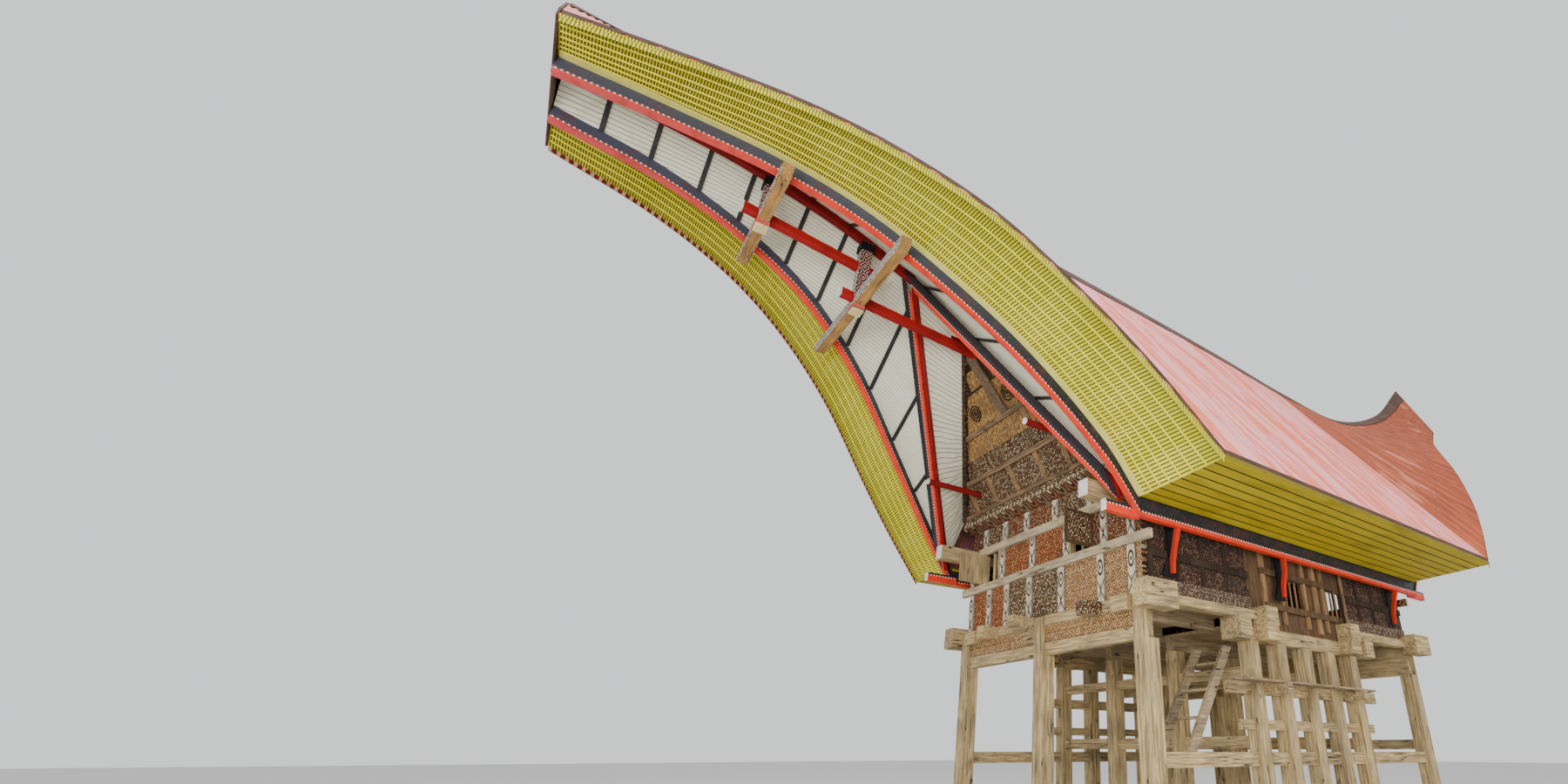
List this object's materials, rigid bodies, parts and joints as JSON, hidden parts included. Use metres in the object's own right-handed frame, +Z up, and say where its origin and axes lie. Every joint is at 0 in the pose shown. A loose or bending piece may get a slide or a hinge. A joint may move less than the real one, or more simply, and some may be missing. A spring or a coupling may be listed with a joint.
{
  "type": "tongkonan house",
  "caption": "Raised timber house on posts with carved walls, leaning gables and a boat-shaped sheet metal roof that sweeps up far past both ends.",
  "frame": {"origin": "on the ground below the middle of the outline", "axes": "+Z up, +Y along the ridge from the front gable to the back, +X across, towards the side with the stair"},
  "size_m": [7.24, 21.8504, 11.9254],
  "materials": {
    "weathered_wood": "weathered bare timber, grey brown with cracks",
    "plank_wood": "sawn planks, worn",
    "carved_wood": "carved and painted timber, red brown, black and white",
    "trim_red": "painted boards, red below and near black above, white dots",
    "ceiling_white": "cream painted slats",
    "roof_metal": "faded corrugated sheet, salmon with paler and orange streaks",
    "ridge_brown": "dark brown folded sheet",
    "slat_yellow": "yellow green split slats"
  },
  "bodies": {
    "root": {"post_front_left": "weathered_wood", "post_front_centre": "weathered_wood", "post_front_right": "weathered_wood", "posts_back": "weathered_wood", "post_row_right": "weathered_wood", "post_row_left": "weathered_wood", "post_frame_inner_1": "weathered_wood", "post_frame_inner_2": "weathered_wood", "post_frame_inner_3": "weathered_wood", "sill_front": "weathered_wood", "sill_back": "weathered_wood", "sill_right": "weathered_wood", "sill_left": "weathered_wood", "wall_plate_right": "weathered_wood", "wall_plate_left": "weathered_wood", "floor_front": "plank_wood", "floor_back": "plank_wood", "floor_middle": "plank_wood", "stair": "plank_wood", "side_planks": "plank_wood", "wall_front_left": "carved_wood", "wall_front_right": "carved_wood", "wall_back": "carved_wood", "wall_side_front_right": "carved_wood", "wall_side_front_left": "carved_wood", "wall_side_middle_right": "carved_wood", "wall_side_middle_left": "carved_wood", "wall_side_back_right": "carved_wood", "wall_side_back_left": "carved_wood", "shutter_front_left": "carved_wood", "shutter_front_right": "carved_wood", "gable_front": "carved_wood", "gable_back": "carved_wood", "prow_truss_front": "carved_wood", "prow_truss_back": "carved_wood", "prow_end_front": "carved_wood", "prow_end_back": "carved_wood", "gable_frame_front": "trim_red", "gable_frame_back": "trim_red", "edge_trim_front_right": "trim_red", "edge_trim_front_left": "trim_red", "edge_trim_back_right": "trim_red", "edge_trim_back_left": "trim_red", "eave_beam_right": "trim_red", "eave_beam_left": "trim_red", "gable_soffit_front": "ceiling_white", "gable_soffit_back": "ceiling_white", "ceiling_front_right": "ceiling_white", "ceiling_front_left": "ceiling_white", "ceiling_back_right": "ceiling_white", "ceiling_back_left": "ceiling_white", "roof_right": "roof_metal", "roof_left": "roof_metal", "ridge_cap": "ridge_brown", "band_front_right": "slat_yellow", "band_front_left": "slat_yellow", "band_back_right": "slat_yellow", "band_back_left": "slat_yellow", "soffit_right": "slat_yellow", "soffit_left": "slat_yellow"}
  },
  "joints": []
}
